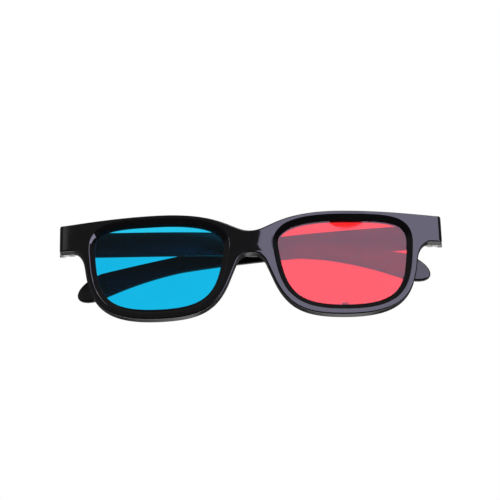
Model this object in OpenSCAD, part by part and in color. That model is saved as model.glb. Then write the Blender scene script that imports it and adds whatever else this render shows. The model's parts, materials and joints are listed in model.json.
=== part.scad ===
// Red and cyan 3D glasses with folding temples, in millimetres.
// Frame: +X to the viewer's right, +Y back towards the wearer, +Z up.
// The origin is the top of the nose arch, on the front face. Left is -X, as seen from the front.

/* [Lens openings] */
// Width of one lens opening
lens_w = 51.4; // [44:0.1:58]
// Height of one lens opening
lens_h = 35.4; // [30:0.1:42]
// Gap between the two lens openings
nose_gap = 21.6; // [18:0.1:26]
// Depth below the top edge at which an opening is widest
lens_widest = 10.4; // [8:0.1:14]
// Inward lean of an opening's side next to the nose, per mm of height
lean_nose = 0.11; // [0:0.01:0.2]
// Inward lean of an opening's outer side, per mm of height
lean_outer = 0.066; // [0:0.002:0.15]

/* [Front] */
// Radius of the front face seen from above
front_r = 560; // [300:5:900]
// Depth of the rims from front to back
rim_depth = 4.8; // [4.4:0.1:7]
// Rim above an opening
rim_top = 3.65; // [3:0.05:5]
// Rim below an opening
rim_bottom = 4.3; // [3:0.1:6]
// Rim beside an opening, below the endpiece
rim_outer = 3.7; // [2.8:0.1:5]
// Frontal width of the bevel round an opening
bevel_w = 2.2; // [1:0.1:2.4]
// Depth of that bevel
bevel_depth = 1.4; // [1:0.1:2.2]
// Height of the bridge over the nose arch
bridge_h = 9.25; // [6:0.05:12]
// Rise from the middle of the bridge to the top of the rims
brow_rise = 7.85; // [5:0.05:10]
// Radius of the nose arch
arch_r = 6.3; // [5:0.1:8]
// Lean of the nose sides from the vertical, in degrees
nose_lean = 22.3; // [18:0.1:30]

/* [Endpieces and hinges] */
// Reach of an endpiece beyond its lens opening
end_reach = 14.2; // [12:0.1:18]
// Height of an endpiece
end_h = 10.85; // [9.5:0.05:13]
// Fall from the top of the rims to the end of the brow
end_drop = 2.1; // [1:0.05:4]
// Corner radius of an endpiece, seen from the front
end_corner = 1; // [0.4:0.1:2]
// Outward flare of a hinge housing towards the back
end_flare = 0.8; // [0:0.1:1.5]
// Hinge axis inside the end of the front
hinge_inset = 4.1; // [3.5:0.1:5]
// Hinge axis behind the front face
hinge_setback = 7.6; // [7.4:0.1:10]
// Backward lean of the hinge axes, in degrees
hinge_lean = 5; // [0:0.5:8]
// Radius of the hinge knuckles
knuckle_r = 2.3; // [2:0.1:2.6]
// Height of the temple's middle knuckle
knuckle_h = 3.6; // [3:0.1:4.4]
// Height of the hinge housing
housing_h = 8.8; // [8:0.1:9.6]
// Wall of the housing outside the knuckle
cheek_w = 1.2; // [0.8:0.1:1.5]
// Diameter of the hinge pins
pin_d = 1.4; // [1:0.1:1.8]

// Length of the housing sunk into the back of the front
root_in = 1.2; // [0.6:0.1:1.8]

/* [Temples] */
// Length of a temple from its hinge axis
temple_len = 143.6; // [130:0.1:150]
// Thickness of a temple
temple_t = 3.5; // [3:0.1:3.6]
// Height of a temple at its hinge
root_h = 10.6; // [9.5:0.1:12]
// Height of a temple at its narrowest
neck_h = 7.5; // [6:0.1:9]
// Height of the paddle behind the ear
pad_h = 11.4; // [8:0.1:12]
// Narrowest place, from the hinge axis
neck_s = 101; // [95:1:108]
// Length of the rounded end
pad_len = 10; // [8:0.1:16]
// Fall of a temple per mm of length
temple_fall = 0.016; // [0:0.002:0.04]
// Start of the ear bend, from the hinge axis
hook_s = 18; // [10:1:50]
// Fall of the ear bend at the tip
hook_drop = 15.1; // [12:0.1:22]
// Cut-back under the root, for the finger notch
root_cut = 2.6; // [1:0.1:3]
// Rest angle of the left temple, which lies inside
left_fold = -0.8; // [-0.8:0.1:0]
// Rest angle of the right temple, which lies over the left one
right_fold = 4.4; // [4.4:0.1:8]

/* [Lenses and their retainers] */
// Thickness of a lens film
film_t = 0.5; // [0.3:0.05:0.8]
// Thickness of the land that the film rests on
land_t = 0.5; // [0.4:0.05:0.8]
// Width of the land behind which the film is held
land_w = 1.4; // [1:0.1:1.6]
// Set-back of a retainer from the rim's rear face
retainer_step = 0.2; // [0:0.05:0.4]
// Width of the small moulding tab under the red lens
tab_w = 2.4; // [1.5:0.1:4]
// Height of that tab inside the opening
tab_h = 1.3; // [0.5:0.1:2]

/* [Clearances] */
// Running clearance round a hinge pin
pin_clear = 0.05; // [0.02:0.01:0.1]
// Snug clearance of a pin in the front
snug_clear = 0.01; // [0.01:0.01:0.03]
// Clearance between hinge leaves
leaf_clear = 0.1; // [0.05:0.05:0.2]
// Clearance round a film and its retainer
film_clear = 0.05; // [0.02:0.01:0.1]
// Gap between a temple's inner face and its hinge axis
temple_gap = 0.2; // [0.1:0.05:0.4]
// Gap between a temple's root and the knuckles
root_gap = 0.7; // [0.5:0.1:1]

/* [Hidden] */
curve_n = 12;
pin_fn = 48;
shell_fn = 240;
past = 1;
black = [0.06, 0.06, 0.07];

lens_in = nose_gap / 2;
lens_mid = lens_in + lens_w / 2;
lens_out = lens_in + lens_w;
brow_z = bridge_h + brow_rise;
lens_top = brow_z - rim_top;
lens_bottom = lens_top - lens_h;
wide_z = lens_top - lens_widest;
rim_foot = lens_bottom - rim_bottom;
end_x = lens_out + end_reach;
end_top = brow_z - end_drop;
end_foot = end_top - end_h;
hinge_x = end_x - hinge_inset;
hinge_y = sag(hinge_x) + hinge_setback;
hinge_z = (end_top + end_foot) / 2;
floor_d = bevel_depth + land_t;
film_d = floor_d + film_clear;
retainer_d = film_d + film_t + film_clear;
root_s = knuckle_r + root_gap;
pad_s = temple_len - pad_len;
housing_y = rim_depth - hinge_setback - root_in;

// Set-back of the curved front face at a distance from the middle
function sag(x) = front_r - sqrt(front_r * front_r - x * x);

// Points of a cubic curve, without its last one
function curve(a, b, c, d) = [
    for (i = [0 : curve_n - 1])
        let (t = i / curve_n, u = 1 - t)
            u * u * u * a + 3 * u * u * t * b + 3 * u * t * t * c + t * t * t * d
];

// Outline of the right lens opening, counter-clockwise from its top
function lens_loop() =
    let (
        top = [lens_mid, lens_top],
        nose = [lens_in, wide_z],
        foot = [lens_mid, lens_bottom],
        outer = [lens_out, wide_z],
        half = lens_w / 2,
        rise = lens_top - wide_z,
        fall = wide_z - lens_bottom
    ) concat(
        curve(top, top - [0.76 * half, 0], nose + 0.6 * rise * [-lean_nose, 1], nose),
        curve(nose, nose + 0.77 * fall * [lean_nose, -1], foot - [0.74 * half, 0], foot),
        curve(foot, foot + [0.84 * half, 0], outer - 0.72 * fall * [lean_outer, 1], outer),
        curve(outer, outer + 0.95 * rise * [lean_outer, 1], top + [0.8 * half, 0], top)
    );

// A counter-clockwise outline moved outwards by w
function grown(loop, w) = [
    for (i = [0 : len(loop) - 1])
        let (
            n = len(loop),
            along = loop[(i + 1) % n] - loop[(i + n - 1) % n]
        ) loop[i] + w * [along[1], -along[0]] / norm(along)
];

// Right half of the front's outline, from the middle of the brow to the top of the arch
function front_half() =
    let (
        brow = [lens_mid, brow_z],
        tip = [end_x, end_top],
        heel = [end_x, end_foot],
        notch = [end_x - end_h * 0.44, end_foot],
        fall = wide_z - lens_bottom,
        reach = end_x - lens_mid,
        side = [lens_out + rim_outer, wide_z - 0.3 * fall],
        foot = [lens_mid, rim_foot],
        slope = [sin(nose_lean), -cos(nose_lean)],
        tangent = arch_r * [cos(nose_lean), sin(nose_lean) - 1],
        nose = tangent + 0.296 * fall * slope
    ) concat(
        curve([0, bridge_h], [0.7 * lens_in, bridge_h], brow - [0.72 * lens_mid, 0], brow),
        curve(brow, brow + [0.34 * reach, 0], tip + [-0.355 * reach, 0.53 * end_drop], tip - [end_corner, 0]),
        [tip - [0, end_corner], heel + [0, end_corner], heel - [end_corner, 0]],
        curve(notch, notch - [0.34 * end_h, 0], side + fall * [0.028, 0.18], side),
        curve(side, side - fall * [0.075, 0.62], foot + [0.385 * lens_w, 0], foot),
        curve(foot, foot - [0.3 * lens_w, 0], nose + 0.54 * fall * slope, nose),
        [for (a = [nose_lean : (90 - nose_lean) / 8 : 90.01]) arch_r * [cos(a), sin(a) - 1]]
    );

// The whole front outline
function front_loop() =
    let (half = front_half(), n = len(half)) concat(
        half,
        [for (i = [n - 2 : -1 : 1]) [-half[i][0], half[i][1]]]
    );

// Middle line of a temple, along its length s
function temple_mid(s) =
    -temple_fall * s - hook_drop * pow(max(0, s - hook_s) / (temple_len - hook_s), 3);

// Height of a temple, along its length s
function temple_height(s) =
    s < neck_s ? root_h + (neck_h - root_h) * pow(s / neck_s, 4)
    : s < pad_s ? neck_h + (pad_h - neck_h) * pow((s - neck_s) / (pad_s - neck_s), 2)
    : pad_h * sqrt(max(0, 1 - pow((s - pad_s) / (temple_len - pad_s), 2)));

// Cut-back under a temple's root, along its length s
function temple_cut(s) = root_cut * pow(max(0, 1 - (s - root_s) / 6), 2);

// Side view of a temple
function temple_loop() =
    let (
        stations = concat(
            [for (i = [0 : 5]) root_s + i * 1.2],
            [for (i = [1 : 22]) root_s + 6 + (pad_s - root_s - 6) * i / 22],
            [for (a = [9 : 9 : 90]) pad_s + (temple_len - pad_s) * sin(a)]
        ),
        n = len(stations)
    ) concat(
        [for (s = stations) [s, temple_mid(s) + temple_height(s) / 2]],
        [for (i = [n - 2 : -1 : 0])
            let (s = stations[i]) [s, temple_mid(s) - temple_height(s) / 2 + temple_cut(s)]]
    );

// An outline drawn in x and z, given depth along y
module upright(loop, from_y, to_y) {
    translate([0, to_y, 0])
        rotate([90, 0, 0])
            linear_extrude(to_y - from_y)
                polygon(loop);
}

// Everything behind the front face by at least d
module behind(d) {
    translate([0, front_r, rim_foot - past])
        cylinder(r = front_r - d, h = brow_z - rim_foot + 2 * past, $fn = shell_fn);
}

// A curved sheet cut to an outline, between two depths behind the front face
module sheet(loop, d0, d1) {
    intersection() {
        upright(loop, -past, sag(end_x) + d1 + past);
        difference() {
            behind(d0);
            behind(d1);
        }
    }
}

// The bevelled hole in front of a lens
module bevelled_hole() {
    loop = lens_loop();
    n = len(loop);
    depths = [-past, bevel_depth, floor_d + past];
    widths = [bevel_w * (1 + past / bevel_depth), 0, 0];
    rings = [
        for (k = [0 : 2])
            for (p = grown(loop, widths[k]))
                [p[0], sag(p[0]) + depths[k], p[1]]
    ];
    middle = [lens_mid, sag(lens_mid), (lens_top + lens_bottom) / 2];
    walls = [
        for (k = [0 : 1])
            for (i = [0 : n - 1])
                let (
                    a = k * n + i,
                    b = k * n + (i + 1) % n
                ) for (f = [[a, b, b + n], [a, b + n, a + n]])
                    f
    ];
    caps = [
        for (i = [0 : n - 1])
            let (j = (i + 1) % n)
                for (f = [[3 * n, j, i], [3 * n + 1, 2 * n + i, 2 * n + j]])
                    f
    ];
    polyhedron(
        concat(rings, [middle + [0, depths[0], 0], middle + [0, depths[2], 0]]),
        concat(walls, caps)
    );
}

// The pocket behind a lens opening, for its film and retainer
module lens_pocket() {
    intersection() {
        upright(grown(lens_loop(), land_w), 0, sag(end_x) + rim_depth + past);
        behind(floor_d);
    }
}

// Places children on the right hinge axis
module at_hinge() {
    translate([hinge_x, hinge_y, hinge_z])
        rotate([-hinge_lean, 0, 0])
            children();
}

// Places children on the left hinge axis, with x pointing inwards
module at_left_hinge() {
    mirror([1, 0, 0])
        at_hinge()
            mirror([1, 0, 0])
                children();
}

// The bore for a hinge pin through a height h
module pin_bore(clear, h) {
    cylinder(d = pin_d + 2 * clear, h = h + 2 * past, center = true, $fn = pin_fn);
}

// Plan of the hinge housing round its axis, with x pointing inwards
module housing_plan() {
    circle(r = knuckle_r, $fn = pin_fn);
    polygon([
        [-hinge_inset, housing_y],
        [knuckle_r, housing_y],
        [knuckle_r, 0],
        [0, 0],
        [-knuckle_r, knuckle_r],
        [-hinge_inset - end_flare, knuckle_r]
    ]);
}

// Housing of the left hinge: two leaves and an outer cheek that stops the open temple
module hinge_housing() {
    gap = knuckle_h + 2 * leaf_clear;
    stop_y = root_s - leaf_clear;
    for (z = [-housing_h / 2, gap / 2])
        translate([0, 0, z])
            linear_extrude((housing_h - gap) / 2)
                housing_plan();
    translate([0, 0, -housing_h / 2])
        linear_extrude(housing_h)
            polygon([
                [-hinge_inset, housing_y],
                [-hinge_inset + cheek_w, housing_y],
                [-hinge_inset + cheek_w, stop_y],
                [-hinge_inset - end_flare, stop_y]
            ]);
}

// The front, with both bevelled lens openings, their pockets and the hinge housings
module front_frame() {
    color(black)
        difference() {
            union() {
                sheet(front_loop(), 0, rim_depth);
                at_left_hinge()
                    hinge_housing();
                mirror([1, 0, 0])
                    at_left_hinge()
                        hinge_housing();
            }
            for (side = [0, 1])
                mirror([side, 0, 0]) {
                    bevelled_hole();
                    lens_pocket();
                    at_hinge()
                        pin_bore(snug_clear, housing_h);
                }
        }
}

module lens_film() {
    sheet(grown(lens_loop(), land_w - film_clear), film_d, film_d + film_t);
}

module cyan_lens() {
    color([0.04, 0.72, 0.9])
        mirror([1, 0, 0])
            lens_film();
}

module red_lens() {
    color([0.95, 0.15, 0.18])
        lens_film();
}

module lens_retainer() {
    difference() {
        sheet(grown(lens_loop(), land_w - film_clear), retainer_d, rim_depth - retainer_step);
        upright(grown(lens_loop(), film_clear), 0, sag(end_x) + rim_depth + past);
    }
}

module left_lens_retainer() {
    color(black)
        mirror([1, 0, 0])
            lens_retainer();
}

module right_lens_retainer() {
    tab_d = (retainer_d + rim_depth - retainer_step) / 2;
    color(black) {
        lens_retainer();
        translate([lens_mid - tab_w / 2, sag(lens_mid) + tab_d - 0.4, lens_bottom - land_w / 2])
            cube([tab_w, 0.8, land_w / 2 + tab_h]);
    }
}

// A temple in its hinge's frame, with x along its length, y to its outer face and z up
module temple() {
    difference() {
        union() {
            upright(temple_loop(), temple_gap, temple_gap + temple_t);
            cylinder(r = knuckle_r, h = knuckle_h, center = true, $fn = pin_fn);
            translate([0, temple_gap, -knuckle_h / 2])
                cube([root_s + past, knuckle_r - temple_gap, knuckle_h]);
        }
        pin_bore(pin_clear, knuckle_h);
    }
}

module left_temple() {
    color(black)
        at_left_hinge()
            rotate([0, 0, left_fold])
                temple();
}

module right_temple() {
    color(black)
        mirror([1, 0, 0])
            at_left_hinge()
                rotate([0, 0, right_fold])
                    temple();
}

module hinge_pin() {
    cylinder(d = pin_d, h = housing_h - 2 * leaf_clear, center = true, $fn = pin_fn);
}

module left_hinge_pin() {
    color([0.7, 0.7, 0.72])
        at_left_hinge()
            hinge_pin();
}

module right_hinge_pin() {
    color([0.7, 0.7, 0.72])
        at_hinge()
            hinge_pin();
}

front_frame();
cyan_lens();
red_lens();
left_lens_retainer();
right_lens_retainer();
left_temple();
right_temple();
left_hinge_pin();
right_hinge_pin();
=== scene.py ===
import json
import math

import bmesh
import bpy
from mathutils import Matrix, Vector
from mathutils.geometry import tessellate_polygon


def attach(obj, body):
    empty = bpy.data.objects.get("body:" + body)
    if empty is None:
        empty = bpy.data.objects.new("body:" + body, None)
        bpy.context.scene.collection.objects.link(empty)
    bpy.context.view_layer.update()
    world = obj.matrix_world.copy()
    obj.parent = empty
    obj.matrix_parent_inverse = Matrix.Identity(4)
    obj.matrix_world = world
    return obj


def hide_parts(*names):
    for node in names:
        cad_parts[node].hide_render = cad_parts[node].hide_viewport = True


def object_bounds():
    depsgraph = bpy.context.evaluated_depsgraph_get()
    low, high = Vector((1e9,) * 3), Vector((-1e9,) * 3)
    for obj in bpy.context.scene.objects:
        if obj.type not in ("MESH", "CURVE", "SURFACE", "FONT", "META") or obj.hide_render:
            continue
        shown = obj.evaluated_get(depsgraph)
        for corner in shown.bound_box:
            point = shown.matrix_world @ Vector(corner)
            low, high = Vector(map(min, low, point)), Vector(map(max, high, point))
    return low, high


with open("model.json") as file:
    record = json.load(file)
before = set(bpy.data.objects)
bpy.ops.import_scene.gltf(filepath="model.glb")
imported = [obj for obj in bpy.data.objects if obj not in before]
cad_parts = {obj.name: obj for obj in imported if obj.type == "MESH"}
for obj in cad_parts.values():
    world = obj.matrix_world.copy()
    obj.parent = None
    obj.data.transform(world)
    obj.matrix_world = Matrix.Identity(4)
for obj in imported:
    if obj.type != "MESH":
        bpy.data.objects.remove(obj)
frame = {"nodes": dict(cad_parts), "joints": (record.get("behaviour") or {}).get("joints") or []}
cadBox = [list(corner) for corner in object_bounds()]
mm = 0.001
joints = {joint["name"]: joint for joint in frame["joints"]}
print("frame loaded:", len(frame["nodes"]), "nodes")


def addObject(name, data):
    obj = bpy.data.objects.new(name, data)
    bpy.context.scene.collection.objects.link(obj)
    return obj


# camera first: 20 degrees below the front's normal, rolled a little, on a long lens
camera = {
    "distance": 650,        # mm from the top of the nose arch
    "below": 20,            # degrees under the front's normal
    "roll": 1.55,           # degrees, right side of the picture up
    "pixelsPerMm": 2.533,   # scale of the picture at the nose arch
    "archPixel": (251, 252),
    "picture": 500,         # pixels along a side
    "sensor": 36,           # mm
    "clip": (0.01, 50),     # metres
}


def makeCamera(c):
    tilt, roll = math.radians(c["below"]), math.radians(c["roll"])
    right, ahead = Vector((1, 0, 0)), Vector((0, math.cos(tilt), math.sin(tilt)))
    up = right.cross(ahead)
    side = right * math.cos(roll) - up * math.sin(roll)
    top = right * math.sin(roll) + up * math.cos(roll)
    half = c["picture"] / 2
    offX = (c["archPixel"][0] - half) / c["pixelsPerMm"]
    offY = (half - c["archPixel"][1]) / c["pixelsPerMm"]
    place = -ahead * c["distance"] - side * offX - top * offY
    data = bpy.data.cameras.new("photoCamera")
    data.sensor_width = c["sensor"]
    data.lens = c["pixelsPerMm"] * c["distance"] * c["sensor"] / c["picture"]
    data.clip_start, data.clip_end = c["clip"]
    obj = addObject("photoCamera", data)
    turn = Matrix((side, top, -ahead)).transposed().to_4x4()
    obj.matrix_world = Matrix.Translation(place * mm) @ turn
    bpy.context.scene.camera = obj


makeCamera(camera)
print("camera set")


# shader maths: a wrapped socket, so that expressions add their own nodes
class Sock:
    def __init__(self, tree, socket):
        self.tree, self.socket = tree, socket

    @classmethod
    def node(cls, tree, kind, settings, inputs, output=0):
        node = tree.nodes.new(kind)
        for name, value in settings.items():
            setattr(node, name, value)
        for name, value in inputs.items():
            if isinstance(value, cls):
                tree.links.new(value.socket, node.inputs[name])
            else:
                node.inputs[name].default_value = value
        return cls(tree, node.outputs[output]) if node.outputs else None

    def maths(self, operation, first, second):
        return Sock.node(self.tree, "ShaderNodeMath", {"operation": operation}, {0: first, 1: second})

    def __add__(self, other):
        return self.maths("ADD", self, other)

    def __radd__(self, other):
        return self.maths("ADD", other, self)

    def __sub__(self, other):
        return self.maths("SUBTRACT", self, other)

    def __rsub__(self, other):
        return self.maths("SUBTRACT", other, self)

    def __mul__(self, other):
        return self.maths("MULTIPLY", self, other)

    def __rmul__(self, other):
        return self.maths("MULTIPLY", other, self)

    def maximum(self, other):
        return self.maths("MAXIMUM", self, other)


def newMaterial(name):
    material = bpy.data.materials.new(name)
    material.use_nodes = True
    tree = material.node_tree
    tree.nodes.clear()
    return material, tree


def finishMaterial(tree, surface):
    Sock.node(tree, "ShaderNodeOutputMaterial", {}, {"Surface": surface})


def grey(value):
    return (value, value, value, 1)


def objectSpace(tree):
    return Sock.node(tree, "ShaderNodeTexCoord", {}, {}, "Object")


def noise(tree, where, scale, detail, rough=0.55, stretch=None):
    if stretch:
        where = Sock.node(tree, "ShaderNodeMapping", {}, {"Vector": where, "Scale": stretch})
    return Sock.node(tree, "ShaderNodeTexNoise", {},
                    {"Vector": where, "Scale": scale, "Detail": detail, "Roughness": rough}, "Fac")


def between(tree, value, low, high, toLow=0.0, toHigh=1.0):
    return Sock.node(tree, "ShaderNodeMapRange", {"interpolation_type": "SMOOTHSTEP"},
                    {"Value": value, "From Min": low, "From Max": high, "To Min": toLow, "To Max": toHigh})


def mixColour(tree, factor, first, second):
    # 6, 7 and output 2 are the colour sockets of a Mix node
    return Sock.node(tree, "ShaderNodeMix", {"data_type": "RGBA"}, {"Factor": factor, 6: first, 7: second}, 2)


plasticLook = {
    "name": "blackPlastic",
    "dark": (0.0035, 0.0035, 0.0042, 1),
    "worn": (0.009, 0.009, 0.011, 1),
    "ior": 1.5,
    "polish": 0.025,      # roughness of a clean face
    "smudge": 0.05,       # added where fingers have been
    "flow": 0.006,        # mm of slow unevenness from moulding
    "bump": 0.25,         # strength of that unevenness
    "clouds": {"scale": 90, "detail": 5}, "cloudWear": 0.5,
    "smudges": {"scale": 38, "detail": 6, "rough": 0.62}, "smudgeFrom": (0.5, 0.78),
    "hairs": {"scale": 600, "detail": 3, "rough": 0.6, "stretch": (0.08, 1, 1.6)}, "hairFrom": (0.66, 0.74),
    "hairWear": 0.35, "hairRough": 0.05, "hairHeight": 0.04,
    "waves": {"scale": 55, "detail": 2}, "waveHeight": 0.8,
}
templeLook = {**plasticLook, "name": "templePlastic", "polish": 0.25}   # moulded a little duller


def blackPlastic(look):
    material, tree = newMaterial(look["name"])
    where = objectSpace(tree)
    cloud = noise(tree, where, **look["clouds"])
    smudge = between(tree, noise(tree, where, **look["smudges"]), *look["smudgeFrom"])
    hairlines = between(tree, noise(tree, where, **look["hairs"]), *look["hairFrom"])
    wear = cloud * look["cloudWear"] + hairlines * look["hairWear"]
    colour = mixColour(tree, wear, look["dark"], look["worn"])
    rough = look["polish"] + smudge * look["smudge"] + hairlines * look["hairRough"]
    height = noise(tree, where, **look["waves"]) * look["waveHeight"] + hairlines * look["hairHeight"]
    bump = Sock.node(tree, "ShaderNodeBump", {},
                    {"Strength": look["bump"], "Distance": look["flow"] * mm, "Height": height})
    surface = Sock.node(tree, "ShaderNodeBsdfPrincipled", {},
                       {"Base Color": colour, "Roughness": rough, "Normal": bump, "IOR": look["ior"]})
    finishMaterial(tree, surface)
    return material


filmLook = {
    "ior": 1.45,
    "polish": 0.01,           # roughness of clean film
    "fadeZ": (0.004, 0.013),  # heights in metres between which the colour turns to the one at the top
    "drift": {"scale": 30, "detail": 3},
    "hairs": {"scale": 520, "detail": 3, "rough": 0.6, "stretch": (1, 1, 0.1)}, "hairFrom": (0.68, 0.76),
    "hairRough": 0.03,
    "fog": {"scale": 45, "detail": 5}, "fogFrom": (0.5, 0.8), "fogRough": 0.02,
}
cyanLook = {
    **filmLook, "name": "cyanFilm",
    "deep": (0.002, 0.47, 0.80, 1), "pale": (0.005, 0.53, 0.86, 1),
    "top": (0.02, 0.62, 0.91, 1),   # paler towards the brow
}
redLook = {
    **filmLook, "name": "redFilm",
    "deep": (0.86, 0.012, 0.013, 1), "pale": (0.93, 0.022, 0.024, 1),
    "top": (0.93, 0.022, 0.024, 1),
}


def filterFilm(look):
    material, tree = newMaterial(look["name"])
    where = objectSpace(tree)
    drift = noise(tree, where, **look["drift"])
    hairlines = between(tree, noise(tree, where, **look["hairs"]), *look["hairFrom"])
    colour = mixColour(tree, drift, look["deep"], look["pale"])
    height = Sock.node(tree, "ShaderNodeSeparateXYZ", {}, {"Vector": where}, "Z")
    colour = mixColour(tree, between(tree, height, *look["fadeZ"]), colour, look["top"])
    fog = between(tree, noise(tree, where, **look["fog"]), *look["fogFrom"])
    rough = look["polish"] + fog * look["fogRough"] + hairlines * look["hairRough"]
    surface = Sock.node(tree, "ShaderNodeBsdfPrincipled", {},
                       {"Base Color": colour, "Roughness": rough, "IOR": look["ior"],
                        "Transmission Weight": 1.0})
    finishMaterial(tree, surface)
    return material


steelLook = {
    "name": "pinSteel",
    "dark": (0.42, 0.42, 0.43, 1), "light": (0.62, 0.62, 0.63, 1),
    "drawn": {"scale": 900, "detail": 3, "rough": 0.6, "stretch": (1, 1, 0.05)},   # marks along the wire
    "polish": 0.22, "drawnRough": 0.2,
}


def pinSteel(look):
    material, tree = newMaterial(look["name"])
    drawn = noise(tree, objectSpace(tree), **look["drawn"])
    colour = mixColour(tree, drawn, look["dark"], look["light"])
    rough = look["polish"] + drawn * look["drawnRough"]
    surface = Sock.node(tree, "ShaderNodeBsdfPrincipled", {},
                       {"Base Color": colour, "Metallic": 1.0, "Roughness": rough})
    finishMaterial(tree, surface)
    return material


plastic = blackPlastic(plasticLook)
templePlastic = blackPlastic(templeLook)
cyan = filterFilm(cyanLook)
red = filterFilm(redLook)
steel = pinSteel(steelLook)
print("materials made")


# outlines, in mm: x across the front, z up, as the solids are drawn
front = {
    "lensW": 51.4, "lensH": 35.4, "noseGap": 21.6, "widest": 10.4, "leanNose": 0.11, "leanOuter": 0.066,
    "curve": 560, "depth": 4.8, "rimTop": 3.65, "rimBottom": 4.3, "rimOuter": 3.7,
    "bevelW": 2.2, "bevelDepth": 1.4, "bridge": 9.25, "browRise": 7.85, "archR": 6.3, "noseLean": 22.3,
    "endReach": 14.2, "endH": 10.85, "endDrop": 2.1, "endCorner": 1.0,
    "landT": 0.5, "landW": 1.4, "edgeFront": 0.5, "edgeBack": 0.5, "bevelEdge": 0.55,
    "bevelFoot": ((0.1, -0.1), (0.02, -0.01), (0, 0.08)),   # width and depth from the bevel's foot
    "pocketEdge": ((0, -0.2), (0.06, -0.06), (0.2, 0), (0.4, 0)),   # the same from the pocket's back edge
    "endRound": 1.5,      # rounding of the upright edge at each end
    "endCuts": (1, 0.8, 0.6, 0.43, 0.28, 0.15),   # shares of that rounding at which the end is cut
    "swell": 0.007, "swellReach": 11, "swellSoft": 2,   # faint crown across the bridge
    "swellFrom": 1.2, "swellStep": 0.5, "swellCuts": 14, "swellMargin": 2,   # cuts that let it bulge
    "crest": 0.36,        # share of the bridge's height at which it is fullest
    "crestClear": 0.4,    # mm kept flat above and below it
    "onFace": 0.001,      # mm behind the face that still count as on it
    "steps": 28,          # points on each stretch of curve
    "cornerSteps": 5,     # and on each corner of an endpiece
    "edgeSteps": 6,       # rings on each rounded edge
    "slices": 2.0,        # mm between the cuts that let a flat face follow the front's curve
    "flatFrom": 0.999,    # a face is flat if its normal points this much forward or back
    "closest": 0.02,      # mm between points of the outline
    # how far the handles of each curve reach, as shares of the sizes beside it
    "lensPull": {"topNose": 0.76, "noseUp": 0.6, "noseDown": 0.77, "footNose": 0.74,
                 "footOuter": 0.84, "outerDown": 0.72, "outerUp": 0.95, "topOuter": 0.8},
    "rimPull": {"bridge": 0.7, "browNose": 0.72, "browOuter": 0.34, "browEnd": (-0.355, 0.53),
                "notch": 0.34, "sideUp": (0.028, 0.18), "sideDown": (0.075, 0.62),
                "footOuter": 0.385, "footNose": 0.3, "nose": 0.54},
    "notchIn": 0.44,      # share of the endpiece's height
    "sideAt": 0.3, "noseAt": 0.296,   # shares of the opening's fall at which the rim's curves meet
}
front["in"] = front["noseGap"] / 2
front["mid"] = front["in"] + front["lensW"] / 2
front["out"] = front["in"] + front["lensW"]
front["brow"] = front["bridge"] + front["browRise"]
front["top"] = front["brow"] - front["rimTop"]
front["foot"] = front["top"] - front["lensH"]
front["wide"] = front["top"] - front["widest"]
front["endX"] = front["out"] + front["endReach"]
front["endTop"] = front["brow"] - front["endDrop"]


# how far the curved front lies behind its own middle
def sag(x):
    return front["curve"] - math.sqrt(front["curve"] ** 2 - x * x)


def curve(a, b, c, d, steps):
    points = []
    for i in range(steps):
        t = i / steps
        u = 1 - t
        points.append(a * u ** 3 + b * 3 * u * u * t + c * 3 * u * t * t + d * t ** 3)
    return points


def corner(place, before, after, radius, steps=4):
    first = place + (before - place).normalized() * radius
    last = place + (after - place).normalized() * radius
    return [first * (1 - t) ** 2 + place * 2 * t * (1 - t) + last * t * t
            for t in (i / steps for i in range(steps + 1))]


def roundedPolygon(points, radius):
    loop, n = [], len(points)
    for i, p in enumerate(points):
        place, before, after = Vector(p), Vector(points[i - 1]), Vector(points[(i + 1) % n])
        loop += corner(place, before, after, radius)
    return loop


def circle(radius, sides):
    turns = [math.tau * i / sides for i in range(sides)]
    return [Vector((radius * math.cos(a), radius * math.sin(a))) for a in turns]


def lensLoop(f):
    half, rise, fall = f["lensW"] / 2, f["top"] - f["wide"], f["wide"] - f["foot"]
    top, foot = Vector((f["mid"], f["top"])), Vector((f["mid"], f["foot"]))
    nose, outer = Vector((f["in"], f["wide"])), Vector((f["out"], f["wide"]))
    leanN, leanO = Vector((-f["leanNose"], 1)), Vector((f["leanOuter"], 1))
    n, pull = f["steps"], f["lensPull"]
    topNose, topOuter = Vector((pull["topNose"] * half, 0)), Vector((pull["topOuter"] * half, 0))
    footNose, footOuter = Vector((pull["footNose"] * half, 0)), Vector((pull["footOuter"] * half, 0))
    return (curve(top, top - topNose, nose + leanN * pull["noseUp"] * rise, nose, n)
            + curve(nose, nose - leanN * pull["noseDown"] * fall, foot - footNose, foot, n)
            + curve(foot, foot + footOuter, outer - leanO * pull["outerDown"] * fall, outer, n)
            + curve(outer, outer + leanO * pull["outerUp"] * rise, top + topOuter, top, n))


def mirrorLoop(loop):
    return [Vector((-p.x, p.y)) for p in loop][::-1]


def outward(loop):
    n = len(loop)
    along = [loop[(i + 1) % n] - loop[i - 1] for i in range(n)]
    return [Vector((a.y, -a.x)).normalized() for a in along]


def grown(loop, width):
    return [p + n * width for p, n in zip(loop, outward(loop))]


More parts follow.
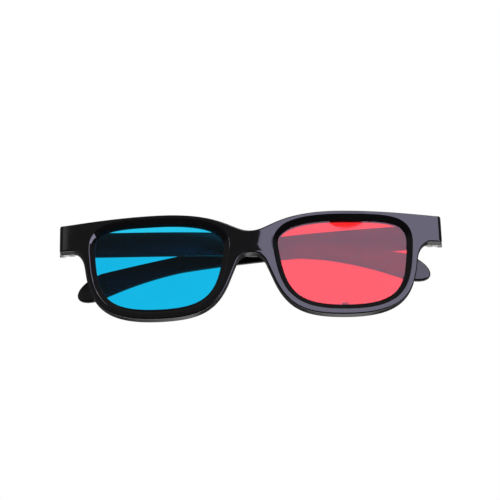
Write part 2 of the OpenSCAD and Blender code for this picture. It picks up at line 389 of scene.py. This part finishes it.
def frontLoop(f):
    n, lean, pull = f["steps"], math.radians(f["noseLean"]), f["rimPull"]
    fall, reach = f["wide"] - f["foot"], f["endX"] - f["mid"]
    middle, brow = Vector((0, f["bridge"])), Vector((f["mid"], f["brow"]))
    tip, heel = Vector((f["endX"], f["endTop"])), Vector((f["endX"], f["endTop"] - f["endH"]))
    notch = heel - Vector((f["notchIn"] * f["endH"], 0))
    side = Vector((f["out"] + f["rimOuter"], f["wide"] - f["sideAt"] * fall))
    foot = Vector((f["mid"], f["foot"] - f["rimBottom"]))
    slope = Vector((math.sin(lean), -math.cos(lean)))
    nose = Vector((math.cos(lean), math.sin(lean) - 1)) * f["archR"] + slope * f["noseAt"] * fall
    browEnd = tip + Vector((pull["browEnd"][0] * reach, pull["browEnd"][1] * f["endDrop"]))
    bridgeOut, browIn = Vector((pull["bridge"] * f["in"], 0)), Vector((pull["browNose"] * f["mid"], 0))
    browOut, notchOut = Vector((pull["browOuter"] * reach, 0)), Vector((pull["notch"] * f["endH"], 0))
    sideUp, sideDown = Vector(pull["sideUp"]) * fall, Vector(pull["sideDown"]) * fall
    footOut, footIn = Vector((pull["footOuter"] * f["lensW"], 0)), Vector((pull["footNose"] * f["lensW"], 0))
    half = (curve(middle, middle + bridgeOut, brow - browIn, brow, n)
            + curve(brow, brow + browOut, browEnd, tip - Vector((f["endCorner"], 0)), n)
            + corner(tip, browEnd, heel, f["endCorner"], f["cornerSteps"])
            + corner(heel, tip, notch, f["endCorner"], f["cornerSteps"])
            + curve(notch, notch - notchOut, side + sideUp, side, n)
            + curve(side, side - sideDown, foot + footOut, foot, n)
            + curve(foot, foot - footIn, nose + slope * pull["nose"] * fall, nose, n))
    for i in range(n + 1):
        a = lean + (math.pi / 2 - lean) * i / n
        half.append(Vector((math.cos(a), math.sin(a) - 1)) * f["archR"])
    clean = [half[0]]
    for point in half[1:]:
        if (point - clean[-1]).length > f["closest"]:
            clean.append(point)
    mirrored = [Vector((-p.x, p.y)) for p in clean[-2:0:-1]]
    return (clean + mirrored)[::-1]   # counter-clockwise, seen from the front


rounding = {
    "lip": 0.15,          # mm of flat face beside each rounding
    "wallIn": 0.12,       # mm from a rounding to the wall's own ring
    "wallLeast": 0.5,     # mm, a narrower wall has no rings of its own
    "weld": 1e-4,         # mm
    "sharp": 38,          # degrees between two faces that keep a hard edge
}


# rings: an outline and its depth, from the front face round the edge to the back face
def edgeRings(loop, depth, frontR, backR, steps, inward=-1):
    lip, wallIn = rounding["lip"], rounding["wallIn"]
    turns = [math.pi / 2 * i / steps for i in range(steps + 1)]
    profile = [(frontR + lip, 0)]
    profile += [(frontR * (1 - math.sin(a)), frontR * (1 - math.cos(a))) for a in turns]
    if depth - frontR - backR > rounding["wallLeast"]:
        profile += [(0, frontR + wallIn), (0, depth - backR - wallIn)]   # keeps the wall flat
    profile += [(backR * (1 - math.cos(a)), depth - backR * (1 - math.sin(a))) for a in turns]
    profile.append((backR + lip, depth))
    return [(grown(loop, inward * inset), d) for inset, d in profile]


def addSlab(bm, rings, holes=()):
    made = []
    for group in [rings, *holes]:
        rows = [[bm.verts.new((p.x, d, p.y)) for p in loop] for loop, d in group]
        made.append(rows)
        for one, two in zip(rows, rows[1:]):
            n = len(one)
            for i in range(n):
                j = (i + 1) % n
                bm.faces.new((one[i], one[j], two[j], two[i]))
    for end in (0, -1):
        flat = [[Vector((v.co.x, v.co.z, 0)) for v in rows[end]] for rows in made]
        verts = [v for rows in made for v in rows[end]]
        for triangle in tessellate_polygon(flat):
            bm.faces.new([verts[i] for i in triangle])


def cutFaces(bm, faces, place, way):
    edges = list(dict.fromkeys(e for face in faces for e in face.edges))
    verts = list(dict.fromkeys(v for face in faces for v in face.verts))
    parts = faces + edges + verts
    bmesh.ops.bisect_plane(bm, geom=parts, dist=rounding["weld"], plane_co=place, plane_no=way)


def bend(bm, near):
    low = min(v.co.x for v in bm.verts)
    high = max(v.co.x for v in bm.verts)
    x = low + front["slices"]
    bm.normal_update()
    while x < high:
        flat = [face for face in bm.faces if abs(face.normal.y) > front["flatFrom"]]
        cutFaces(bm, flat, (x, 0, 0), (1, 0, 0))   # the walls and bevels are fine enough uncut
        x += front["slices"]
    for v in bm.verts:
        v.co.y += sag(v.co.x) + near


def takeMesh(bm, name):
    mesh = bpy.data.meshes.new(name)
    bm.to_mesh(mesh)
    bm.free()
    return mesh


def join(bm, part):
    mesh = takeMesh(part, "part")
    bm.from_mesh(mesh)
    bpy.data.meshes.remove(mesh)


def finishPiece(name, bm, material, body, node, place=None):
    bmesh.ops.remove_doubles(bm, verts=bm.verts, dist=rounding["weld"])
    if place is not None:
        bmesh.ops.transform(bm, matrix=place, verts=bm.verts)
    bmesh.ops.scale(bm, vec=(mm, mm, mm), verts=bm.verts)
    bmesh.ops.recalc_face_normals(bm, faces=bm.faces)
    mesh = takeMesh(bm, name)
    mesh.polygons.foreach_set("use_smooth", [True] * len(mesh.polygons))
    mesh.set_sharp_from_angle(angle=math.radians(rounding["sharp"]))
    mesh.materials.append(material)
    obj = addObject(name, mesh)
    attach(obj, body)
    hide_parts(node)
    print(name, "made:", len(mesh.polygons), "faces")


hinge = {
    "inset": 4.1, "flare": 0.8, "setback": 7.6, "knuckleR": 2.3, "knuckleH": 3.6, "housingH": 8.8,
    "cheek": 1.2, "leafClear": 0.1, "rootGap": 0.7, "edge": 0.35, "edgeSteps": 3,
    "boreR": 0.72, "boreEdge": 0.1, "boreSides": 24, "boreSteps": 2,
    "embed": 1.2,         # mm that the housing reaches into the front
    "backArc": 135,       # degrees of the knuckle's round back
    "arcSteps": 14, "cheekRound": 0.4,
}


def hingePlace(side):
    joint = joints["left_temple_hinge" if side < 0 else "right_temple_hinge"]
    axis = Vector(joint["axis"]).normalized()
    axis = axis if axis.z > 0 else -axis
    inward = Vector((-side, 0, 0))
    back = axis.cross(Vector((1, 0, 0)))
    turn = Matrix((inward, back, axis)).transposed().to_4x4()
    return Matrix.Translation(Vector(joint["pos_m"]) / mm) @ turn


def standing(z0):
    # maps a slab's x, depth and z to a plan's x, height and y
    return Matrix(((1, 0, 0, 0), (0, 0, 1, 0), (0, 1, 0, z0), (0, 0, 0, 1)))


def addStanding(bm, loop, z0, z1, edge, bore=0):
    h, tall, holes = hinge, z1 - z0, []
    if bore:
        hole = circle(bore, h["boreSides"])
        holes.append(edgeRings(hole, tall, h["boreEdge"], h["boreEdge"], h["boreSteps"], 1))
    part = bmesh.new()
    addSlab(part, edgeRings(loop, tall, edge, edge, h["edgeSteps"]), holes)
    bmesh.ops.transform(part, matrix=standing(z0), verts=part.verts)
    join(bm, part)


def housing(h):
    bm = bmesh.new()
    frontY = -(h["setback"] - front["depth"]) - h["embed"]
    gap = h["knuckleH"] / 2 + h["leafClear"]
    top = h["housingH"] / 2
    stop = h["knuckleR"] + h["rootGap"] - h["leafClear"]
    r, inset, flare = h["knuckleR"], h["inset"], h["flare"]
    turns = [math.radians(h["backArc"]) * i / h["arcSteps"] for i in range(h["arcSteps"] + 1)]
    arc = [(r * math.cos(a), r * math.sin(a)) for a in turns]
    plan = [Vector(p) for p in [(-inset, frontY), (r, frontY), *arc, (-r, r), (-inset - flare, r)]]
    inside = -inset + h["cheek"]
    wall = [(-inset, frontY), (inside, frontY), (inside, stop), (-inset - flare, stop)]
    for low, high in ((-top, -gap), (gap, top)):
        addStanding(bm, plan, low, high, h["edge"], h["boreR"])
    addStanding(bm, roundedPolygon(wall, h["cheekRound"]), -top, top, h["edge"])
    return bm


# an opening's rings: over the bevel to the land, then along the pocket's wall to the back face
def openingRings(f, loop):
    w, d, land = f["bevelW"], f["bevelDepth"], f["bevelDepth"] + f["landT"]
    turn, r, n = math.atan2(d, w), f["bevelEdge"], f["edgeSteps"]
    start = w + r * math.tan(turn / 2)
    turns = [turn * i / n for i in range(n + 1)]
    steps = [(start + rounding["lip"], 0)]
    steps += [(start - r * math.sin(a), r * (1 - math.cos(a))) for a in turns]
    steps += [(width, d + depth) for width, depth in f["bevelFoot"]]
    steps += [(0, land), (f["landW"], land)]
    steps += [(f["landW"] + width, f["depth"] + depth) for width, depth in f["pocketEdge"]]
    return [(grown(loop, width), depth) for width, depth in steps]


def cutBridge(bm, f):
    reach = f["swellReach"] + f["swellMargin"]
    for i in range(f["swellCuts"]):
        near = [face for face in bm.faces if abs(face.calc_center_median().x) < reach
                and all(v.co.y < f["onFace"] for v in face.verts)]
        cutFaces(bm, near, (0, 0, f["swellFrom"] + f["swellStep"] * i), (0, 0, 1))


def crownBridge(bm, f):
    crest, reach, soft = f["bridge"] * f["crest"], f["swellReach"], f["swellSoft"]
    low = crest - f["edgeFront"] - f["crestClear"]
    high = f["bridge"] - crest - f["edgeFront"] - f["crestClear"]
    for v in bm.verts:
        x, z = v.co.x, v.co.z
        if v.co.y - sag(x) < f["onFace"] and abs(x) < reach:
            fade = max(0, 1 - max((crest - z) / low, (z - crest) / high)) * (1 - (x / reach) ** 2)
            v.co.y += f["swell"] * (math.sqrt(x * x + soft * soft) - soft) * fade


def roundEnds(bm, f):
    r = f["endRound"]
    for side in (-1, 1):
        for share in f["endCuts"]:
            cutFaces(bm, bm.faces[:], (side * (f["endX"] - share * r), 0, 0), (1, 0, 0))
    for v in bm.verts:
        past = abs(v.co.x) - f["endX"] + r
        if past > 0:
            v.co.y = max(v.co.y, r - math.sqrt(max(0, r * r - past * past)))


def buildFront(f, openings):
    bm = bmesh.new()
    outer = edgeRings(frontLoop(f), f["depth"], f["edgeFront"], f["edgeBack"], f["edgeSteps"])
    addSlab(bm, outer, [openingRings(f, loop) for loop in openings])
    cutBridge(bm, f)
    roundEnds(bm, f)
    bend(bm, 0)
    crownBridge(bm, f)
    for side in (-1, 1):
        part = housing(hinge)
        bmesh.ops.transform(part, matrix=hingePlace(side), verts=part.verts)
        join(bm, part)
    finishPiece("frontFrame", bm, plastic, "front", "front_frame")


rightLens = lensLoop(front)
leftLens = mirrorLoop(rightLens)
buildFront(front, (rightLens, leftLens))

film = {
    "t": 0.5, "clear": 0.05, "edge": 0.04, "edgeSteps": 2,
    "step": 0.2,          # mm from the retainer to the front's back face
    "ringFront": 0.15, "ringBack": 0.25, "ringSteps": 3,   # rounding of the retainer
    "tabW": 2.4, "tabH": 1.3, "tabT": 0.8, "tabRound": 0.25, "tabEdge": 0.1,
}
film["near"] = front["bevelDepth"] + front["landT"] + film["clear"]
film["ringNear"] = film["near"] + film["t"] + film["clear"]


def pocketLoop(loop):
    return grown(loop, front["landW"] - film["clear"])


def buildFilm(name, loop, material, node):
    bm = bmesh.new()
    addSlab(bm, edgeRings(pocketLoop(loop), film["t"], film["edge"], film["edge"], film["edgeSteps"]))
    bend(bm, film["near"])
    finishPiece(name, bm, material, "front", node)


def addTab(bm, depth):
    x, z = front["mid"], front["foot"]
    w, h, low = film["tabW"] / 2, film["tabH"], -front["landW"] / 2
    corners = [(x - w, z + low), (x + w, z + low), (x + w, z + h), (x - w, z + h)]
    outline = roundedPolygon(corners, film["tabRound"])
    tab = bmesh.new()
    addSlab(tab, edgeRings(outline, film["tabT"], film["tabEdge"], film["tabEdge"], film["edgeSteps"]))
    bmesh.ops.translate(tab, vec=(0, depth / 2 - film["tabT"] / 2, 0), verts=tab.verts)
    join(bm, tab)


def buildRetainer(name, loop, node, tab):
    bm = bmesh.new()
    depth = front["depth"] - film["step"] - film["ringNear"]
    edge = (film["ringFront"], film["ringBack"], film["ringSteps"])
    inner = edgeRings(grown(loop, film["clear"]), depth, *edge, 1)
    addSlab(bm, edgeRings(pocketLoop(loop), depth, *edge), [inner])
    if tab:
        addTab(bm, depth)
    bend(bm, film["ringNear"])
    finishPiece(name, bm, plastic, "front", node)


buildFilm("cyanFilm", leftLens, cyan, "cyan_lens")
buildFilm("redFilm", rightLens, red, "red_lens")
buildRetainer("leftRetainer", leftLens, "left_lens_retainer", False)
buildRetainer("rightRetainer", rightLens, "right_lens_retainer", True)

temple = {
    "length": 143.6, "t": 3.5, "rootH": 10.6, "neckH": 7.5, "padH": 11.4, "neckS": 101, "padLen": 10,
    "taper": 4, "padFlare": 2,              # powers of the height's change to the neck and to the pad
    "fall": 0.016, "hookS": 18, "hookDrop": 15.1, "hookBend": 3,
    "rootCut": 2.6, "cutLen": 6, "gap": 0.2,
    "edge": 0.8, "outerEdge": 2.7, "edgeSteps": 8, "rootEdge": 0.9, "rootClear": 0.3,
    "linkIn": 1, "linkClear": 0.3, "linkEdge": 0.2, "knuckleSides": 48,
    "leftFold": -0.8, "rightFold": 4.4,     # degrees
    "steps": 70, "tipSteps": 18,
}


def templeLoop(k):
    rootS = hinge["knuckleR"] + hinge["rootGap"]
    n, tips, length, padS = k["steps"], k["tipSteps"], k["length"], k["length"] - k["padLen"]
    stations = [rootS + (padS - rootS) * i / n for i in range(n)]
    stations += [padS + (length - padS) * math.sin(math.pi / 2 * i / tips) for i in range(tips + 1)]

    def middle(s):
        past = max(0, s - k["hookS"]) / (length - k["hookS"])
        return -k["fall"] * s - k["hookDrop"] * past ** k["hookBend"]

    def height(s):
        if s < k["neckS"]:
            return k["rootH"] + (k["neckH"] - k["rootH"]) * (s / k["neckS"]) ** k["taper"]
        if s < padS:
            past = (s - k["neckS"]) / (padS - k["neckS"])
            return k["neckH"] + (k["padH"] - k["neckH"]) * past ** k["padFlare"]
        return k["padH"] * math.sqrt(max(0, 1 - ((s - padS) / (length - padS)) ** 2))

    def cut(s):
        return k["rootCut"] * max(0, 1 - (s - rootS) / k["cutLen"]) ** 2

    upper = [Vector((s, middle(s) + height(s) / 2)) for s in stations]
    lower = [Vector((s, middle(s) - height(s) / 2 + cut(s))) for s in stations[:-1]]
    low, high, r = lower[0], upper[0], k["rootEdge"]
    clear = rootS + r + k["rootClear"]
    lower = corner(low, high, lower[1], r) + [p for p in lower if p.x > clear]
    upper = [p for p in upper[::-1] if p.x > clear] + corner(high, upper[1], low, r)
    return lower + upper


def buildTemple(name, side, fold, body, node):
    k, h = temple, hinge
    bm = bmesh.new()
    addSlab(bm, edgeRings(templeLoop(k), k["t"], k["edge"], k["outerEdge"], k["edgeSteps"]))
    bmesh.ops.translate(bm, vec=(0, k["gap"], 0), verts=bm.verts)
    r, top = h["knuckleR"], h["knuckleH"] / 2
    addStanding(bm, circle(r, k["knuckleSides"]), -top, top, k["linkEdge"], h["boreR"])
    start, reach = h["boreR"] + k["linkClear"], r + h["rootGap"] + k["linkIn"]
    link = roundedPolygon([(start, k["gap"]), (reach, k["gap"]), (reach, r), (start, r)], k["linkEdge"])
    addStanding(bm, link, -top, top, k["linkEdge"])
    place = hingePlace(side) @ Matrix.Rotation(math.radians(fold), 4, "Z")
    finishPiece(name, bm, templePlastic, body, node, place)


buildTemple("leftTemple", -1, temple["leftFold"], "left_temple", "left_temple")
buildTemple("rightTemple", 1, temple["rightFold"], "right_temple", "right_temple")

for pin in ("left_hinge_pin", "right_hinge_pin"):
    pinData = frame["nodes"][pin].data
    pinData.materials.clear()
    pinData.materials.append(steel)
print("pins finished")


# studio: a pale floor that shows from above only, white behind, a dark room in front and cards at its sides
studio = {
    "floor": (0.82, 0.82, 0.82, 1),
    "floorR": 1.6,        # metres
    "floorCells": 8,
    "floorGap": 0.0002,   # metres under the part
    "fadeFrom": 0.5,      # metres from the middle at which the floor starts to fade
    "fadeTo": 0.95,       # share of floorR at which it has gone
    "lampAway": 1.2,      # metres from the nose arch
    "roomGlow": 0.7,      # light from all round
    # what polished faces see, with the parts of a direction between which it changes
    "backY": (-0.05, 0.05),                                       # from in front to behind
    "frontLow": 0.02, "frontHigh": 0.13, "frontZ": (0.05, 0.3),   # in front, below and above eye level
    "tableNear": 0.45, "tableFar": 4.0, "tableZ": (-0.53, -0.515),   # behind: the table and its far end,
    "tableXX": (0.12, 0.3),                                          # which fades to both sides,
    "wallFoot": 0.65, "footZ": (-0.44, -0.36),                       # the foot of the wall,
    "footLeft": 0.4, "footX": (-0.12, 0.06),                         # dimmer at the left,
    "wall": 0.08, "wallZ": (-0.3, -0.22),                            # and the rest of it
}
# the key lights diffuse surfaces only, the cards and the strip show in polished faces and through films only
white, cool = (1.0, 1.0, 1.0), (0.75, 0.714, 1.0)
lamps = {   # sides and height in degrees, tall in metres
    "softKey": {"glow": 8, "tint": white, "left": -38, "right": 2, "high": 55, "tall": 0.6, "key": True},
    "greyCard": {"glow": 4.24, "tint": cool, "left": 1.65, "right": 44, "high": 20, "tall": 0.75},
    "topStrip": {"glow": 10, "tint": white, "left": 2, "right": 44, "high": 45, "tall": 0.2},
    "cardFoot": {"glow": 6.6, "tint": cool, "left": 31, "right": 48, "high": -3, "tall": 0.6},
    "leftCard": {"glow": 0.7, "tint": white, "left": -38, "right": -25.1, "high": 20, "tall": 0.6},
}


def makeFloor(s):
    low = min(corner[2] for corner in cadBox)
    bm = bmesh.new()
    bmesh.ops.create_grid(bm, x_segments=s["floorCells"], y_segments=s["floorCells"], size=s["floorR"])
    mesh = takeMesh(bm, "floor")
    obj = addObject("floor", mesh)
    obj.location = (0, 0, low - s["floorGap"])
    material, tree = newMaterial("paleFloor")
    away = Sock.node(tree, "ShaderNodeVectorMath", {"operation": "LENGTH"}, {0: objectSpace(tree)}, "Value")
    fade = between(tree, away, s["fadeFrom"], s["floorR"] * s["fadeTo"])
    under = Sock.node(tree, "ShaderNodeNewGeometry", {}, {}, "Backfacing")
    pale = Sock.node(tree, "ShaderNodeBsdfDiffuse", {}, {"Color": s["floor"]})
    clear = Sock.node(tree, "ShaderNodeBsdfTransparent", {}, {"Color": grey(1)})
    mixed = Sock.node(tree, "ShaderNodeMixShader", {}, {0: under.maximum(fade), 1: pale, 2: clear})
    finishMaterial(tree, mixed)
    mesh.materials.append(material)
    obj.visible_glossy = False


def makeWorld(s):
    world = bpy.data.worlds.new("studio")
    bpy.context.scene.world = world
    world.use_nodes = True
    tree = world.node_tree
    tree.nodes.clear()
    rays = ("Is Camera Ray", "Is Transmission Ray", "Is Diffuse Ray")
    seen, through, soft = (Sock.node(tree, "ShaderNodeLightPath", {}, {}, ray) for ray in rays)
    where = Sock.node(tree, "ShaderNodeTexCoord", {}, {}, "Generated")
    x, y, z = (Sock.node(tree, "ShaderNodeSeparateXYZ", {}, {"Vector": where}, axis) for axis in "XYZ")
    behind = between(tree, y, *s["backY"])
    ahead = between(tree, z, *s["frontZ"], s["frontLow"], s["frontHigh"])
    straight = between(tree, x * x, *s["tableXX"], 1.0, 0.0)
    far = s["tableNear"] + between(tree, z, *s["tableZ"]) * straight * (s["tableFar"] - s["tableNear"])
    above = between(tree, z, *s["footZ"])
    foot = s["wallFoot"] * between(tree, x, *s["footX"], s["footLeft"], 1.0)
    high = between(tree, z, *s["wallZ"])
    wall = foot * (1 - high) + high * s["wall"]
    room = behind * (far * (1 - above) + above * wall) + (1 - behind) * ahead
    lit = through * behind
    room = lit + (1 - lit) * room
    strength = seen + (1 - seen) * (soft * s["roomGlow"] + (1 - soft) * room)
    surface = Sock.node(tree, "ShaderNodeBackground", {}, {"Color": grey(1), "Strength": strength})
    Sock.node(tree, "ShaderNodeOutputWorld", {}, {"Surface": surface})


def makeLamp(name, s):
    left, right = math.radians(s["left"]), math.radians(s["right"])
    middle, high = (left + right) / 2, math.radians(s["high"])
    width = 2 * studio["lampAway"] * math.tan((right - left) / 2)
    data = bpy.data.lights.new(name, "AREA")
    data.shape = "RECTANGLE"
    data.size, data.size_y = width, s["tall"]
    data.energy = s["glow"] * math.pi * width * s["tall"]
    data.color = s["tint"]
    obj = addObject(name, data)
    away = Vector((math.sin(middle), -math.cos(middle), math.tan(high)))
    obj.location = away * studio["lampAway"]
    obj.rotation_euler = away.to_track_quat("Z", "Y").to_euler()
    key = s.get("key", False)
    obj.visible_diffuse, obj.visible_glossy, obj.visible_transmission = key, not key, not key


# a black disc that the red film mirrors as the deep red patch at its top
shade = {
    "seenAt": (38.4, 3.6, 13.2),   # mm, where the film mirrors it
    "away": 1000, "wide": 39, "tall": 6.5,   # mm
    "sides": 40, "black": 0.002,
}


def mirrorWay(point, normal):
    toCamera = (bpy.context.scene.camera.matrix_world.translation / mm - point).normalized()
    return 2 * normal.dot(toCamera) * normal - toCamera


def makeShade(s):
    point = Vector(s["seenAt"])
    normal = Vector((point.x, -math.sqrt(front["curve"] ** 2 - point.x ** 2), 0)).normalized()
    way = mirrorWay(point, normal)
    bm = bmesh.new()
    rim = [(s["wide"] * p.x * mm, s["tall"] * p.y * mm, 0) for p in circle(1, s["sides"])]
    bm.faces.new([bm.verts.new(p) for p in rim])
    mesh = takeMesh(bm, "lampShade")
    material, tree = newMaterial("shadeBlack")
    finishMaterial(tree, Sock.node(tree, "ShaderNodeBsdfDiffuse", {}, {"Color": grey(s["black"])}))
    mesh.materials.append(material)
    obj = addObject("lampShade", mesh)
    obj.location = (point + way * s["away"]) * mm
    obj.rotation_euler = way.to_track_quat("Z", "Y").to_euler()
    obj.visible_camera = obj.visible_shadow = obj.visible_diffuse = obj.visible_transmission = False


makeShade(shade)
makeFloor(studio)
makeWorld(studio)
for lampName, lamp in lamps.items():
    makeLamp(lampName, lamp)
bpy.context.scene.view_settings.view_transform = "Standard"
print("studio set")
